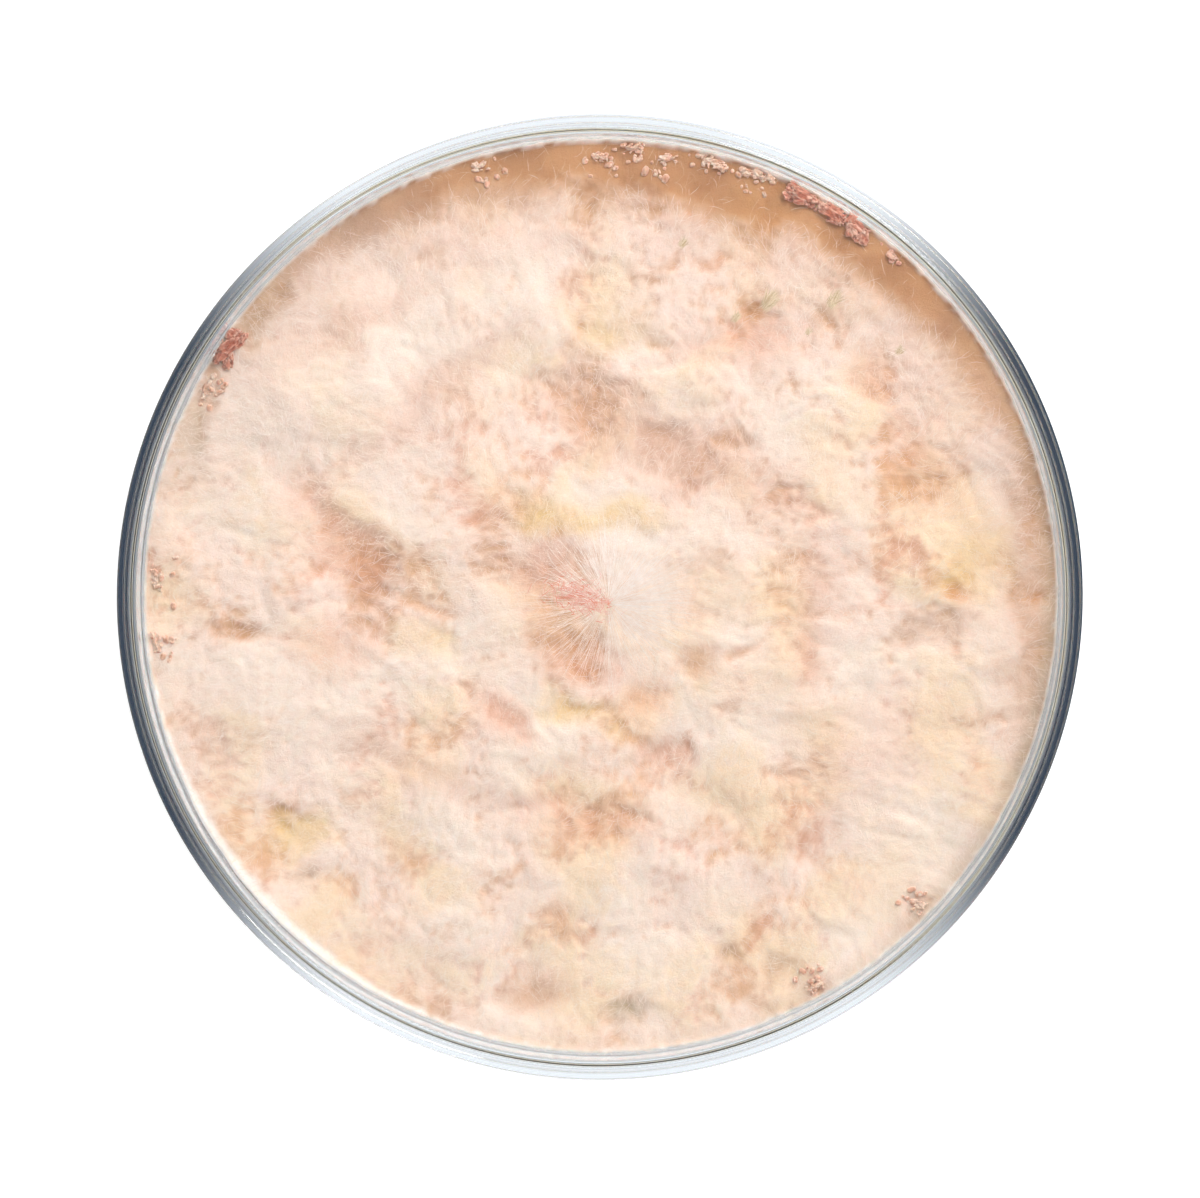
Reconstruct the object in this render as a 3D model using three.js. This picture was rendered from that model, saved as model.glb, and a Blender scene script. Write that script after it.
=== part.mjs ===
// A 100 mm petri dish, closed by its loose lid, with a fungal culture grown right across its agar.
//
// Millimetres, +Z up. The origin is the middle of the circle that the foot ring stands on.
// Angles are in degrees, anticlockwise from +X as seen from above.

import * as THREE from "three";

// ---- Driving dimensions of the two mouldings ----
const LID_DIAMETER = 100; // across the skirt's lower edge, the widest place
const WALL = 0.8; // thickness of the dish's wall and of the lid's skirt
const PLATE = 0.9; // thickness of the lid's flat top
const FLOOR = 1.0; // thickness of the dish's floor
const DISH_HEIGHT = 14.5; // from the foot ring to the rim
const SKIRT_HEIGHT = 8.5; // from the skirt's lower edge to the plate's upper face
const RUNNING_GAP = 0.3; // between the dish's rim and the lid, all round and above
const LID_DRAFT = 0.2; // how much the skirt's radius grows from top to bottom
const DISH_DRAFT = 0.5; // how much the dish's radius grows from foot to rim
const STACKING_RIM = 0.6; // height of the raised rim that holds the next dish on the lid
const FOOT = 0.3; // height of the foot ring under the floor
const FOOT_WIDTH = 1.0; // width of the foot ring's flat
const RIM_ROUNDING = 0.25; // of the two edges of the dish's rim
const SKIRT_ROUNDING = 0.12; // of the two edges under the skirt
const LID_ROUNDING = 0.25; // of the two edges of the stacking rim

// ---- Driving dimensions of what the dish holds ----
const CLEARANCE = 0.3; // left between neighbouring pieces
const AGAR_DEPTH = 3.7; // of the gel, away from the wall
const MENISCUS = 0.9; // how far the gel climbs at the wall
const MAT_THICKNESS = 3.4; // of the fungal mat, away from its edge
const MAT_ROLL = 0.3; // rise and fall of the mat's surface
const SHELF_DROP = 1.1; // how much lower the mat lies along its thin edge
const SHELF_ANGLE = 75; // the middle of that thin edge
const SHELF_WIDTH = 5; // its width there
const SHELF_SPREAD = 85; // how far round it reaches to either side
const CLIMB_WIDTH = 1.5; // how far from the wall the gel starts to climb
const RIPPLE = 0.06; // how unevenly a crust or crumb swells, as a share of its size

// ---- Fineness ----
const SIDES = 64; // of each turned piece
const ARC_STEPS = 4; // of each rounded corner
const MAT_RINGS = 16; // of the mat's upper surface

// ---- Sizes that follow ----
const SKIRT_BOTTOM_RADIUS = LID_DIAMETER / 2;
const SKIRT_TOP_RADIUS = SKIRT_BOTTOM_RADIUS - LID_DRAFT;
const SKIRT_INNER_RADIUS = SKIRT_TOP_RADIUS - WALL;
const RIM_RADIUS = SKIRT_INNER_RADIUS - RUNNING_GAP;
const BASE_RADIUS = RIM_RADIUS - DISH_DRAFT;
const FLOOR_TOP = FOOT + FLOOR;
const PLATE_UNDERSIDE = DISH_HEIGHT + RUNNING_GAP;
const PLATE_TOP = PLATE_UNDERSIDE + PLATE;
const SKIRT_BOTTOM = PLATE_TOP - SKIRT_HEIGHT;
const AGAR_BOTTOM = FLOOR_TOP + CLEARANCE;
const AGAR_TOP = AGAR_BOTTOM + AGAR_DEPTH;
const MAT_BOTTOM = AGAR_TOP + CLEARANCE;
const MAT_TOP = MAT_BOTTOM + MAT_THICKNESS;
const FLARE_AT_CULTURE = 0.1; // how much wider than at its foot the dish is where the culture lies
const CULTURE_RADIUS = BASE_RADIUS - WALL - CLEARANCE + FLARE_AT_CULTURE;

const radians = THREE.MathUtils.degToRad;

function point(radius, height) {
  return new THREE.Vector2(radius, height);
}

// Points along an arc in an outline, from one angle to another about a centre.
function arc(centreRadius, centreHeight, bend, from, to) {
  const points = [];
  for (let step = 0; step <= ARC_STEPS; step += 1) {
    const angle = radians(from + ((to - from) * step) / ARC_STEPS);
    points.push(point(centreRadius + bend * Math.cos(angle), centreHeight + bend * Math.sin(angle)));
  }
  return points;
}

// The two rounded corners of a wall's free edge. The height is that of their centres. The first
// one starts at 0 degrees, on the wall's outer face, or at 180 degrees, on its inner face.
function bluntEdge(outerRadius, height, rounding, start) {
  const outer = outerRadius - rounding;
  const inner = outerRadius - WALL + rounding;
  const [first, second] = start === 0 ? [outer, inner] : [inner, outer];
  return [
    ...arc(first, height, rounding, start, start + 90),
    ...arc(second, height, rounding, start + 90, start + 180),
  ];
}

// A solid turned about the Z axis from half of its section. The outline runs out along the
// underside, up the outside and back over the top.
function turned(outline) {
  return new THREE.LatheGeometry(outline, SIDES).rotateX(Math.PI / 2);
}

function material(color, roughness, opacity = 1) {
  return new THREE.MeshStandardMaterial({
    color,
    roughness,
    metalness: 0,
    opacity,
    transparent: opacity < 1,
  });
}

function piece(name, geometry, look) {
  const mesh = new THREE.Mesh(geometry, look);
  mesh.name = name;
  return mesh;
}

const clearPlastic = material(0xdfe8ee, 0.08, 0.35);
const agarGel = material(0xe6d3b0, 0.25);
const aerialMycelium = material(0xf3dccb, 0.95);
const coralThreads = material(0xe9957c, 0.9);
const salmonCrust = material(0xc98872, 0.85);
const paleCrumb = material(0xe8cdb6, 0.9);

// ---- The dish: a floor on a foot ring, and a slightly flared wall with a blunt rim ----
function dishBase() {
  const corner = 1.0; // outside, between floor and wall
  const fillet = 1.0; // inside, between floor and wall
  const rimHeight = DISH_HEIGHT - RIM_ROUNDING;
  const flare = DISH_DRAFT / (rimHeight - corner);
  const filletTop = FLOOR_TOP + fillet;
  const innerRadius = RIM_RADIUS - WALL - flare * (rimHeight - filletTop);
  const footOuter = BASE_RADIUS - corner;
  const outline = [
    point(0, FOOT),
    point(footOuter - FOOT_WIDTH - FOOT, FOOT),
    point(footOuter - FOOT_WIDTH, 0),
    ...arc(footOuter, corner, corner, -90, 0),
    ...bluntEdge(RIM_RADIUS, rimHeight, RIM_ROUNDING, 0),
    ...arc(innerRadius - fillet, filletTop, fillet, 0, -90),
    point(0, FLOOR_TOP),
  ];
  return piece("dish_base", turned(outline), clearPlastic);
}

// ---- The lid: a flat plate, a skirt that hangs outside the dish, a raised stacking rim ----
function lid() {
  const fillet = 0.5; // inside, between plate and skirt
  const rimLean = 0.1; // how far the stacking rim's inner face leans inwards at its foot
  const outline = [
    point(0, PLATE_UNDERSIDE),
    ...arc(SKIRT_INNER_RADIUS - fillet, PLATE_UNDERSIDE - fillet, fillet, 90, 0),
    ...bluntEdge(SKIRT_BOTTOM_RADIUS, SKIRT_BOTTOM + SKIRT_ROUNDING, SKIRT_ROUNDING, 180),
    ...bluntEdge(SKIRT_TOP_RADIUS, PLATE_TOP + STACKING_RIM - LID_ROUNDING, LID_ROUNDING, 0),
    point(SKIRT_INNER_RADIUS - rimLean, PLATE_TOP),
    point(0, PLATE_TOP),
  ];
  return piece("lid", turned(outline), clearPlastic);
}

// ---- The gel: a disc that climbs the wall a little, in a hollow curve of two straight parts ----
function agarMedium() {
  const bevel = 1.0; // clears the fillet inside the dish
  const outline = [
    point(0, AGAR_BOTTOM),
    point(CULTURE_RADIUS - bevel, AGAR_BOTTOM),
    point(CULTURE_RADIUS, AGAR_BOTTOM + bevel),
    point(CULTURE_RADIUS, AGAR_TOP + MENISCUS),
    point(CULTURE_RADIUS - CLIMB_WIDTH / 3, AGAR_TOP + MENISCUS / 3),
    point(CULTURE_RADIUS - CLIMB_WIDTH, AGAR_TOP),
    point(0, AGAR_TOP),
  ];
  return piece("agar_medium", turned(outline), agarGel);
}

// How near an angle is to another, from 1 at the same angle to 0 at a given spread from it.
function nearness(angle, other, spread) {
  const away = Math.acos(Math.cos(radians(angle - other)));
  return 1 - THREE.MathUtils.smoothstep(away, 0, radians(spread));
}

// How far the mat's upper surface lies above or below its usual height at a point.
function matRelief(x, y) {
  const radius = Math.hypot(x, y);
  const angle = THREE.MathUtils.radToDeg(Math.atan2(y, x));
  const crossSwell = Math.sin(x / 7 + 1) * Math.cos(y / 9); // swells 44 mm long across, 57 mm along
  const diagonalSwell = Math.sin((x + y) / 5) / 2;
  const highest = 1.5; // of the two together
  const calmEdge = 6; // width of the band beside the wall where the swells die out
  const fade = 1 - THREE.MathUtils.smoothstep(radius, CULTURE_RADIUS - calmEdge, CULTURE_RADIUS);
  const roll = ((MAT_ROLL * (crossSwell + diagonalSwell)) / highest) * fade;
  const shelf = THREE.MathUtils.smoothstep(
    radius,
    CULTURE_RADIUS - SHELF_WIDTH,
    CULTURE_RADIUS - SHELF_WIDTH / 2,
  );
  return roll - SHELF_DROP * shelf * nearness(angle, SHELF_ANGLE, SHELF_SPREAD);
}

// ---- The mat: aerial mycelium from wall to wall, with a thin edge along one side ----
function myceliumMat() {
  const sideBottom = AGAR_TOP + MENISCUS + 2 * CLEARANCE;
  const edgeHeight = MAT_TOP - 0.5; // of the mat's side, below the height of its middle
  const footWidth = CLIMB_WIDTH + CLEARANCE;
  const outline = [
    point(0, MAT_BOTTOM),
    point(CULTURE_RADIUS - footWidth, MAT_BOTTOM),
    point(CULTURE_RADIUS - footWidth / 2, MAT_BOTTOM + MENISCUS / 2),
    point(CULTURE_RADIUS - CLEARANCE, sideBottom - CLEARANCE),
    point(CULTURE_RADIUS, sideBottom),
    point(CULTURE_RADIUS, edgeHeight),
  ];
  for (let ring = MAT_RINGS - 1; ring >= 0; ring -= 1) {
    outline.push(point(CULTURE_RADIUS * Math.sqrt(ring / MAT_RINGS), MAT_TOP));
  }
  const geometry = turned(outline);
  const places = geometry.attributes.position;
  const halfway = (sideBottom + edgeHeight) / 2; // only the points above this one are on top
  for (let index = 0; index < places.count; index += 1) {
    if (places.getZ(index) > halfway) {
      places.setZ(index, places.getZ(index) + matRelief(places.getX(index), places.getY(index)));
    }
  }
  return piece("mycelium_mat", geometry, aerialMycelium);
}

// A lumpy pebble of a given length, width and height, from a ball that ripples along and across.
function lump(length, width, height, detail, seed) {
  const geometry = new THREE.IcosahedronGeometry(0.5, detail);
  const places = geometry.attributes.position;
  const corner = new THREE.Vector3();
  for (let index = 0; index < places.count; index += 1) {
    corner.fromBufferAttribute(places, index);
    const along = Math.sin(9 * corner.x + seed);
    const across = Math.sin(8 * corner.y + 2 * seed);
    corner.multiplyScalar(1 + RIPPLE * (along + across - 2));
    places.setXYZ(index, corner.x * length, corner.y * width, corner.z * height);
  }
  return geometry;
}

// Sets a lump down on the mat at a distance and angle from the middle, turned along the wall.
function onMat(mesh, radius, angle, height) {
  const x = radius * Math.cos(radians(angle));
  const y = radius * Math.sin(radians(angle));
  mesh.position.set(x, y, MAT_TOP + matRelief(x, y) + CLEARANCE + height / 2);
  mesh.rotation.z = radians(angle + 90);
  return mesh;
}

// ---- The raised tuft in the middle, where the culture started ----
function centreTuft() {
  const [length, width, height] = [13, 10, 0.9];
  const mesh = piece("centre_tuft", lump(length, width, height, 2, 1), coralThreads);
  return onMat(mesh, 1.5, -30, height);
}

// ---- Dried crusts and crumbs lying on the mat's edge beside the wall ----
// Each row: name, distance from the middle, angle, length along the wall, width, height, colour.
const CRUMBS = [
  ["crust_upper_right_1", 45.7, 63.5, 3.6, 1.9, 1.4, salmonCrust],
  ["crust_upper_right_2", 45.7, 59, 3.2, 1.8, 1.2, salmonCrust],
  ["crust_upper_right_3", 45.8, 55, 3.0, 1.6, 1.0, salmonCrust],
  ["crumb_right_of_top", 45.8, 49.5, 1.4, 1.2, 0.9, salmonCrust],
  ["crust_top_1", 45.9, 69.5, 3.4, 1.4, 1.0, paleCrumb],
  ["crust_top_2", 45.8, 75.5, 3.8, 1.5, 1.0, paleCrumb],
  ["crumb_top_1", 45.2, 81.5, 2.4, 1.6, 1.0, paleCrumb],
  ["crumb_top_2", 45.8, 86, 2.6, 1.6, 1.1, paleCrumb],
  ["crumb_top_3", 45.0, 90, 2.0, 1.5, 1.0, paleCrumb],
  ["crumb_top_left", 45.6, 105.5, 2.8, 1.4, 0.9, paleCrumb],
  ["crust_left_1", 45.8, 146, 3.8, 2.0, 1.3, salmonCrust],
  ["crust_left_2", 45.6, 152, 3.0, 1.5, 1.0, paleCrumb],
  ["crumb_left_3", 45.6, 177.5, 3.2, 1.9, 1.1, paleCrumb],
  ["crumb_left_4", 45.7, 186, 2.4, 1.3, 0.9, paleCrumb],
  ["crumb_lower_right_1", 45.6, -61, 2.6, 1.4, 0.9, paleCrumb],
  ["crumb_lower_right_2", 45.6, -44, 2.2, 1.3, 0.8, paleCrumb],
];

function crumbs() {
  return CRUMBS.map(([name, radius, angle, length, width, height, look], index) =>
    onMat(piece(name, lump(length, width, height, 1, index), look), radius, angle, height),
  );
}

const petriDish = new THREE.Group();
petriDish.add(dishBase(), lid(), agarMedium(), myceliumMat(), centreTuft(), ...crumbs());

export default petriDish;
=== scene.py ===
"""How the petri dish looks: clear mouldings, a disc of gel and a fluffy culture, built round the CAD frame.

Lengths are in millimetres until a mesh is made, which is in metres. Angles are in degrees, anticlockwise
from +X.
"""

import math

import bmesh
import bpy
import numpy as np
from mathutils import Matrix, Vector, noise

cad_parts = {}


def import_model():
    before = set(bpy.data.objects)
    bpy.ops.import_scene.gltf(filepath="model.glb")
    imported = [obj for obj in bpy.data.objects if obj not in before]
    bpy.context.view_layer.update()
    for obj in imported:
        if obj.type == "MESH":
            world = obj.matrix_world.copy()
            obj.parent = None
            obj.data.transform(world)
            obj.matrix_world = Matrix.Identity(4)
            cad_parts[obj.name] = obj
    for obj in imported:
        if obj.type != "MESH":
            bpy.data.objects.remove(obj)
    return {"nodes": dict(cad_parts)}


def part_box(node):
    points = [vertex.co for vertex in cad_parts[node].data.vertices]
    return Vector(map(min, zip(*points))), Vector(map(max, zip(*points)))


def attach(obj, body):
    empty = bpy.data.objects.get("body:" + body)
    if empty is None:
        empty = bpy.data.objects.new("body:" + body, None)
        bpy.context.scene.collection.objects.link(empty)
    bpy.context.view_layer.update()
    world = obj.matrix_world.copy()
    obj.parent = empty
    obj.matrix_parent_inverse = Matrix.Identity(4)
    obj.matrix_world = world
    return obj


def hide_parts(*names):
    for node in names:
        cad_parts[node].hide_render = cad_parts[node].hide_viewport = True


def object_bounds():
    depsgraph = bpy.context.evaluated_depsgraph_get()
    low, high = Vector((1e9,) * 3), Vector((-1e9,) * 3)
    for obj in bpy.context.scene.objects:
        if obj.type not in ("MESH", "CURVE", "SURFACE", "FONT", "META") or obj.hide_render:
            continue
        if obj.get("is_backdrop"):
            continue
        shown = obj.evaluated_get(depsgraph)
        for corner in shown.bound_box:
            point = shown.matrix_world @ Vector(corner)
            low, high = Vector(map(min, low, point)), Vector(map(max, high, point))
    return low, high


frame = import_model()
cad_low, cad_high = (corner.copy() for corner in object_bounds())

MM = 0.001

# ---- Sizes, from the CAD nodes where a node has them ----
dish_low, dish_high = (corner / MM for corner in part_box("dish_base"))
lid_low, lid_high = (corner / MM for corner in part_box("lid"))
agar_low, agar_high = (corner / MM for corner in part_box("agar_medium"))
WALL = 0.8
PLATE = 0.9
FLOOR = 1.0
FOOT = 0.3
FOOT_WIDTH = 1.0
RUNNING_GAP = 0.3
LID_DRAFT = 0.2
DISH_DRAFT = 0.5
STACKING_RIM = 0.6
RIM_ROUNDING = 0.25
SKIRT_ROUNDING = 0.12
LID_ROUNDING = 0.25
MENISCUS = 0.9
DISH_HEIGHT = dish_high.z
RIM_RADIUS = dish_high.x
BASE_RADIUS = RIM_RADIUS - DISH_DRAFT
SKIRT_BOTTOM_RADIUS = lid_high.x
SKIRT_TOP_RADIUS = SKIRT_BOTTOM_RADIUS - LID_DRAFT
SKIRT_INNER_RADIUS = SKIRT_TOP_RADIUS - WALL
SKIRT_BOTTOM = lid_low.z
PLATE_UNDERSIDE = DISH_HEIGHT + RUNNING_GAP
PLATE_TOP = PLATE_UNDERSIDE + PLATE
AGAR_BOTTOM = agar_low.z
AGAR_TOP = agar_high.z - MENISCUS
MAT_BOTTOM = AGAR_TOP + 0.3
MAT_TOP = 9.0
MAT_RADIUS = 47.58

# ---- The mat's edges: directions, spreads to either side of them, and sizes ----
SHELF_ANGLE = 75  # of the bare, sunken strip beside the wall
SHELF_SPREAD = 92
SHELF_WIDTH = 6.5
SHELF_DROP = 1.1
SHELF_SHADE = 0.45  # painted shade on the fluff beside the strip
SHELF_SHADE_SPREAD = 110
SHELF_SHADE_BAND = (15, 3)  # where it begins and is full, in from the mat's edge
WALL_SHADE = 0.18  # painted shade on the mat beside the wall, all round
RIGHT_SHADE = 0.30  # and so much more of it at the right
RIGHT_SHADE_ANGLE = -10
RIGHT_SHADE_SPREAD = 80
WALL_SHADE_BAND = (2.4, 0.4)
FRINGE = 0.18  # the width of the young growth at the very edge
SHELF_FRINGE = 0.16
SHELF_FRINGE_SPREAD = 80
THINNEST_FRINGE = 0.04
PULL_ANGLE = 223  # where the fringe is widest and climbs the wall
PULL_SPREAD = 38
PULL = 0.75
CLIMB = 0.9
PULL_CLIMB = 2.2

# ---- The mat's relief and cover ----
WANDER, SMALL_WANDER = 1.5, 0.3  # how far the growth's outlines are pulled about
ROLL, SWELL, CUSHIONS, NAP = 0.60, 0.45, 0.26, 0.04  # heights, from broad to fine
COVER = 0.25  # raises or lowers the share of the mat that fluff covers
BARE_SINK = 0.25  # how far a bare place lies below the fluff
GROUND_SHOWS = 0.72  # how strongly the ground shows through where the mat is bare

# The middle of the starburst, which the loose threads also point away from.
STAR_X, STAR_Y = 0.8, -0.8

ARC_STEPS = 10
SIDES = 420
SHARP_EDGE = 25  # degrees between two faces


# ---- Small tools ----
def linear(code):
    """The linear red, green and blue of a web colour."""
    shares = [int(code[start : start + 2], 16) / 255 for start in (0, 2, 4)]
    return np.array([s / 12.92 if s <= 0.04045 else ((s + 0.055) / 1.055) ** 2.4 for s in shares])


def smoothstep(value, low, high):
    share = np.clip((value - low) / (high - low), 0, 1)
    return share * share * (3 - 2 * share)


def nearness(angle, other, spread):
    """From 1 at the same angle to 0 at a given spread from it, in degrees."""
    away = np.degrees(np.arccos(np.cos(np.radians(angle - other))))
    return 1 - smoothstep(away, 0, spread)


FIELD_HALF = 60.0  # the random fields cover a square of twice this


def bumps(x, y, size, seed):
    """Smooth random values from about -1 to 1, whose bumps are `size` across."""
    draws = np.random.default_rng(seed)
    cells = int(2 * FIELD_HALF / size) + 3
    turn = draws.uniform(0, 2 * math.pi, (cells, cells))
    lean_x, lean_y = np.cos(turn), np.sin(turn)
    u, v = (x + FIELD_HALF) / size, (y + FIELD_HALF) / size
    column = np.clip(np.floor(u).astype(int), 0, cells - 2)
    row = np.clip(np.floor(v).astype(int), 0, cells - 2)
    u, v = u - column, v - row

    def slope(right, up):
        place = (row + up, column + right)
        return lean_x[place] * (u - right) + lean_y[place] * (v - up)

    ease_u = u**3 * (u * (6 * u - 15) + 10)
    ease_v = v**3 * (v * (6 * v - 15) + 10)
    lower = slope(0, 0) * (1 - ease_u) + slope(1, 0) * ease_u
    upper = slope(0, 1) * (1 - ease_u) + slope(1, 1) * ease_u
    return 1.6 * (lower * (1 - ease_v) + upper * ease_v)


def mesh_object(name, points, faces, smooth=True):
    """A mesh from points in millimetres and faces, which are rows of triangles or a list of polygons."""
    mesh = bpy.data.meshes.new(name)
    points = np.asarray(points, dtype=np.float32) * MM
    if isinstance(faces, np.ndarray):
        sides = faces.shape[1]
        mesh.vertices.add(len(points))
        mesh.vertices.foreach_set("co", points.ravel())
        mesh.loops.add(faces.size)
        mesh.loops.foreach_set("vertex_index", faces.astype(np.int32).ravel())
        mesh.polygons.add(len(faces))
        mesh.polygons.foreach_set("loop_start", np.arange(0, faces.size, sides, dtype=np.int32))
        mesh.update(calc_edges=True)
    else:
        mesh.from_pydata(points.tolist(), [], faces)
    mesh.polygons.foreach_set("use_smooth", np.full(len(mesh.polygons), smooth))
    mesh.update()
    thing = bpy.data.objects.new(name, mesh)
    bpy.context.scene.collection.objects.link(thing)
    return thing


def tinted(thing, colours, name="growth"):
    """Stores a linear colour at every vertex."""
    layer = thing.data.color_attributes.new(name, "FLOAT_COLOR", "POINT")
    rows = np.ones((len(thing.data.vertices), 4), dtype=np.float32)
    rows[:, :3] = np.clip(colours, 0, 1)
    layer.data.foreach_set("color", rows.ravel())


def airy(thing):
    """Lets light through threads that are too fine and see-through to shade one another."""
    thing.visible_shadow = False
    thing.visible_diffuse = False


def place(thing, body, slot, nodes, material):
    """Gives a piece its material and its body, and hides the CAD nodes that it stands for. The slot is not
    used.
    """
    thing.data.materials.append(material)
    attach(thing, body)
    if nodes:
        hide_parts(*nodes)
    return thing


# ---- Materials ----
def by_ray(nodes, links, kind, chosen, others):
    """One shader to a kind of ray and another shader to all others."""
    path = nodes.new("ShaderNodeLightPath")
    mixed = nodes.new("ShaderNodeMixShader")
    links.new(path.outputs[kind], mixed.inputs[0])
    links.new(others, mixed.inputs[1])
    links.new(chosen, mixed.inputs[2])
    return mixed.outputs[0]


class Paint:
    """One material being laid down: a Principled shader and the nodes that feed it."""

    def __init__(self, name, colour, roughness):
        self.material = bpy.data.materials.new(name)
        self.material.use_nodes = True
        self.nodes = self.material.node_tree.nodes
        self.links = self.material.node_tree.links
        self.shader = self.nodes["Principled BSDF"]
        self.output = self.nodes["Material Output"]
        self.shader.inputs["Base Color"].default_value = (*colour, 1)
        self.shader.inputs["Roughness"].default_value = roughness
        self.place = self.nodes.new("ShaderNodeTexCoord").outputs["Object"]

    def node(self, kind, links=(), **settings):
        """A new node. A setting that isn't one of its properties is the value of a socket."""
        made = self.nodes.new(kind)
        for key, value in settings.items():
            if hasattr(made, key):
                setattr(made, key, value)
            else:
                made.inputs[key.replace("_", " ").title()].default_value = value
        for socket, source in links:
            self.links.new(source, made.inputs[socket])
        return made

    def grain(self, size, detail=3.0, roughness=0.55):
        """Cloudy noise whose lumps are `size` millimetres across, from 0 to 1."""
        made = self.node("ShaderNodeTexNoise", [("Vector", self.place)], detail=detail)
        made.inputs["Scale"].default_value = 1 / (size * MM)
        made.inputs["Roughness"].default_value = roughness
        return made.outputs["Fac"]

    def range(self, source, low, high, to_low, to_high):
        made = self.node("ShaderNodeMapRange", [("Value", source)])
        ends = {"From Min": low, "From Max": high, "To Min": to_low, "To Max": to_high}
        for socket, value in ends.items():
            made.inputs[socket].default_value = value
        return made.outputs["Result"]

    def mix(self, share, first, second, blend="MIX"):
        """Mixes two colours, each a socket or a linear colour, by a share that is a socket."""
        made = self.node("ShaderNodeMix", data_type="RGBA", blend_type=blend)
        self.links.new(share, made.inputs[0])
        for socket, colour in ((made.inputs[6], first), (made.inputs[7], second)):
            if isinstance(colour, bpy.types.NodeSocket):
                self.links.new(colour, socket)
            else:
                socket.default_value = (*colour, 1)
        return made.outputs[2]

    def colour(self, source):
        self.links.new(source, self.shader.inputs["Base Color"])

    def rough(self, source):
        self.links.new(source, self.shader.inputs["Roughness"])

    def bump(self, source, depth, strength=1.0):
        """Raises the surface by up to `depth` millimetres where the source is 1."""
        made = self.node("ShaderNodeBump", [("Height", source)])
        made.inputs["Distance"].default_value = depth * MM
        made.inputs["Strength"].default_value = strength
        self.links.new(made.outputs["Normal"], self.shader.inputs["Normal"])

    def attribute(self, name):
        return self.node("ShaderNodeAttribute", attribute_name=name).outputs["Color"]


def clear_plastic():
    """Polystyrene: clear, glossy, with a faint cool tint and fine handling marks."""
    paint = Paint("clear_plastic", (0.982, 0.990, 0.997), 0.03)
    shader = paint.shader
    shader.inputs["IOR"].default_value = 1.5
    shader.inputs["Transmission Weight"].default_value = 1.0
    marks = paint.grain(1.3, 5.0)
    paint.rough(paint.range(marks, 0.4, 0.8, 0.0, 0.015))
    paint.bump(paint.grain(9.0, 2.0), 0.001)
    lamp_side = paint.node("ShaderNodeBsdfTransparent")
    lamp_side.inputs["Color"].default_value = (0.985, 0.985, 0.985, 1)
    mixed = by_ray(paint.nodes, paint.links, "Is Shadow Ray", lamp_side.outputs[0], shader.outputs[0])
    paint.links.new(mixed, paint.output.inputs["Surface"])
    return paint.material


def agar_gel():
    paint = Paint("agar_gel", linear("ebdcbd"), 0.18)
    clouds = paint.range(paint.grain(6.0, 4.0), 0.3, 0.7, 0, 1)
    paint.colour(paint.mix(clouds, linear("e2cda6"), linear("f0e4cc")))
    paint.shader.inputs["Subsurface Weight"].default_value = 0.6
    paint.shader.inputs["Subsurface Radius"].default_value = (1.0, 0.7, 0.4)
    paint.shader.inputs["Subsurface Scale"].default_value = 2 * MM
    paint.rough(paint.range(paint.grain(2.0), 0.3, 0.7, 0.12, 0.3))
    paint.bump(paint.grain(3.0, 3.0), 0.05)
    return paint.material


def mycelium(name, fluff):
    """Aerial mycelium: its painted growth colours, with painted shade in them, finely mottled, with a
    felted surface.
    """
    paint = Paint(name, linear("f6dccb"), 0.95)
    growth = paint.attribute("growth")
    fine = paint.range(paint.grain(0.35, 4.0, 0.7), 0.35, 0.7, 0, 1)
    darker = paint.mix(fine, growth, (0.88, 0.76, 0.66), "MULTIPLY")
    paint.colour(paint.mix(paint.range(paint.grain(1.1, 3.0), 0.3, 0.75, 0, 0.6), growth, darker))
    paint.rough(paint.range(paint.grain(0.8), 0.3, 0.7, 0.85, 1.0))
    paint.bump(paint.grain(0.3, 5.0, 0.75), 0.10)
    paint.shader.inputs["Specular IOR Level"].default_value = 0.15
    paint.shader.inputs["Subsurface Weight"].default_value = fluff
    paint.shader.inputs["Subsurface Radius"].default_value = (1.0, 0.6, 0.45)
    paint.shader.inputs["Subsurface Scale"].default_value = 0.6 * MM
    return paint.material


def threads(name):
    """Single hyphae, each with its own shade."""
    paint = Paint(name, linear("fdeee4"), 0.7)
    growth = paint.attribute("growth")
    paint.colour(paint.mix(paint.range(paint.grain(0.5), 0.35, 0.7, 0, 0.35), growth, linear("e9c6ac")))
    paint.rough(paint.range(paint.grain(0.6), 0.3, 0.7, 0.6, 0.9))
    paint.bump(paint.grain(0.1), 0.01)
    paint.shader.inputs["Specular IOR Level"].default_value = 0.1
    return paint.material


def crust(name, flesh, edge, dark):
    """A dried crust: fleshy in the hollows, mottled darker by noise, and pale along its edges and crumbs.
    """
    paint = Paint(name, linear(flesh), 0.7)
    geometry = paint.node("ShaderNodeNewGeometry")
    ridge = paint.range(geometry.outputs["Pointiness"], 0.50, 0.60, 0, 1)
    skin = paint.mix(paint.range(paint.grain(0.5, 5.0, 0.7), 0.35, 0.65, 0, 1), linear(dark), linear(flesh))
    paint.colour(paint.mix(ridge, skin, linear(edge)))
    paint.rough(paint.range(paint.grain(0.4), 0.3, 0.7, 0.45, 0.85))
    paint.bump(paint.grain(0.18, 5.0, 0.7), 0.08)
    paint.shader.inputs["Specular IOR Level"].default_value = 0.3
    paint.shader.inputs["Subsurface Weight"].default_value = 0.4
    paint.shader.inputs["Subsurface Radius"].default_value = (1.0, 0.45, 0.35)
    paint.shader.inputs["Subsurface Scale"].default_value = 0.4 * MM
    return paint.material


# ---- Turned pieces ----
def arc(centre_radius, centre_height, bend, start, end):
    """Points of an arc in half of a section, as radius and height."""
    angles = np.radians(np.linspace(start, end, ARC_STEPS + 1))
    return [(centre_radius + bend * math.cos(a), centre_height + bend * math.sin(a)) for a in angles]


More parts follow.
